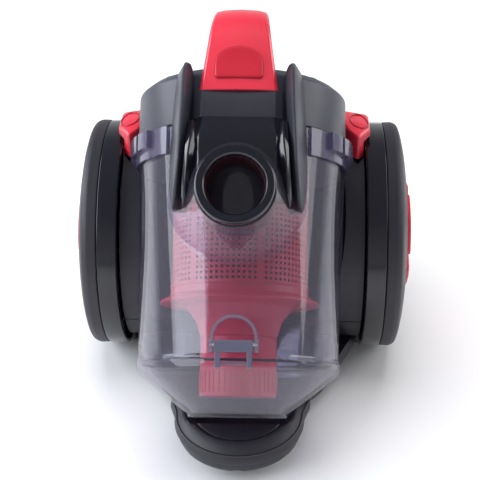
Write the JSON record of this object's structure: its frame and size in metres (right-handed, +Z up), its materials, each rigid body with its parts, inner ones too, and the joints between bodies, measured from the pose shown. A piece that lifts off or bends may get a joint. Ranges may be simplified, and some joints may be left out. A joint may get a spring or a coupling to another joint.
{
  "type": "canister vacuum cleaner",
  "caption": "Bagless canister vacuum cleaner with large side wheels, a leaning clear dust cup, a round hose inlet, foot pedals and a loop carrying handle.",
  "frame": {"origin": "on the floor, under the centre of the overall box", "axes": "+Z up, -Y to the front where the nose and hose inlet are, +X to the right seen from behind"},
  "size_m": [0.283, 0.3746, 0.3158],
  "materials": {
    "housing_black": "satin moulded plastic",
    "gloss_black": "polished moulded plastic",
    "charcoal": "fine matt texture",
    "slate": "satin metallic grey plastic",
    "red_gloss": "glossy coloured plastic",
    "smoked_clear": "clear smoke-tinted plastic",
    "smoked_latch": "smoke-tinted plastic",
    "filter_red": "perforated red plastic",
    "rubber": "matt",
    "foam": "open foam",
    "pleats": "pleated paper",
    "steel": "turned",
    "motor_metal": "pressed",
    "copper": "wound wire and laminations",
    "board": "circuit board"
  },
  "bodies": {
    "body": {"base_housing": "housing_black", "upper_housing": "housing_black", "nose_bumper": "charcoal", "axle_pins": "steel", "axle_clips": "steel", "motor_can": "motor_metal", "motor_stator": "copper", "motor_seal": "rubber", "motor_mount": "rubber", "filter_frame": "housing_black", "motor_filter": "foam", "exhaust_filter": "pleats", "exhaust_grille": "charcoal", "reel_axle": "steel", "reel_frame": "housing_black", "cord_gland": "rubber", "power_switch": "housing_black", "control_board": "board", "housing_screws": "steel", "power_pedal_spring": "steel", "rewind_pedal_spring": "steel"},
    "left_wheel": {"left_wheel_shell": "gloss_black", "left_wheel_cover": "charcoal", "left_hub_trim": "red_gloss"},
    "right_wheel": {"right_wheel_shell": "gloss_black", "right_wheel_cover": "charcoal", "right_hub_trim": "red_gloss"},
    "caster_swivel": {"caster_fork": "housing_black", "caster_pin": "steel"},
    "caster_roller": {"caster_wheel": "rubber"},
    "power_button": {"power_pedal": "red_gloss"},
    "rewind_button": {"rewind_pedal": "red_gloss"},
    "dust_cup": {"clear_cup": "smoked_clear", "inlet_duct": "gloss_black", "cup_cover": "slate", "front_panel": "charcoal", "inlet_cowl": "gloss_black", "cover_fins": "slate", "handle_shell": "red_gloss", "handle_grip": "charcoal", "cyclone_shroud": "filter_red", "shroud_skirt": "filter_red", "dust_tube": "filter_red", "separator_plate": "charcoal", "outlet_filter": "foam", "filter_tray": "charcoal", "flap_hinge_pin": "steel", "latch_pin": "steel"},
    "cup_flap": {"dust_flap": "smoked_clear", "flap_gasket": "rubber"},
    "cup_latch": {"flap_latch": "smoked_latch"},
    "handle_button": {"release_button": "red_gloss"},
    "rotor": {"motor_rotor": "copper", "impeller": "motor_metal"},
    "reel": {"reel_drum": "housing_black"}
  },
  "joints": [
    {"name": "left_wheel_turn", "type": "hinge", "parent": "body", "child": "left_wheel", "pos_m": [-0.119, 0.048, 0.098], "axis": [1, 0, 0], "continuous": true},
    {"name": "right_wheel_turn", "type": "hinge", "parent": "body", "child": "right_wheel", "pos_m": [0.119, 0.048, 0.098], "axis": [1, 0, 0], "continuous": true},
    {"name": "caster_swivel_turn", "type": "hinge", "parent": "body", "child": "caster_swivel", "pos_m": [0, -0.145, 0.023], "axis": [0, 0, 1], "continuous": true},
    {"name": "caster_wheel_turn", "type": "hinge", "parent": "caster_swivel", "child": "caster_roller", "pos_m": [0, -0.139, 0.01], "axis": [1, 0, 0], "continuous": true},
    {"name": "power_pedal_press", "type": "slide", "parent": "body", "child": "power_button", "axis": [0, 0, -1], "range_m": [0, 0.004], "stiffness_N_per_m": 1500, "springref_m": -0.003, "deforming": ["power_pedal_spring"]},
    {"name": "rewind_pedal_press", "type": "slide", "parent": "body", "child": "rewind_button", "axis": [0, 0, -1], "range_m": [0, 0.004], "stiffness_N_per_m": 1500, "springref_m": -0.003, "deforming": ["rewind_pedal_spring"]},
    {"name": "dust_cup_lift", "type": "slide", "parent": "body", "child": "dust_cup", "axis": [0, 0, 1], "range_m": [0, 0.3]},
    {"name": "dust_flap_open", "type": "hinge", "parent": "dust_cup", "child": "cup_flap", "pos_m": [0, -0.05491, 0.02231], "axis": [1, 0, 0], "range_deg": [0, 85]},
    {"name": "flap_latch_release", "type": "hinge", "parent": "dust_cup", "child": "cup_latch", "pos_m": [0, -0.17463, 0.1449], "axis": [-1, 0, 0], "range_deg": [0, 15], "stiffness_Nm_per_rad": 0.06, "springref_deg": -34.38},
    {"name": "handle_button_press", "type": "slide", "parent": "dust_cup", "child": "handle_button", "axis": [0, 0.7431, -0.6691], "range_m": [0, 0.003], "stiffness_N_per_m": 1200, "springref_m": -0.002},
    {"name": "motor_spin", "type": "hinge", "parent": "body", "child": "rotor", "pos_m": [-0.02, 0.11, 0.078], "axis": [1, 0, 0], "continuous": true},
    {"name": "cord_reel_turn", "type": "hinge", "parent": "body", "child": "reel", "pos_m": [0.06, 0.108, 0.08], "axis": [1, 0, 0], "continuous": true}
  ],
  "couplings": [
    {"joint": "dust_flap_open", "follows": "dust_cup_lift", "rad_per_m": 4.9446}
  ]
}
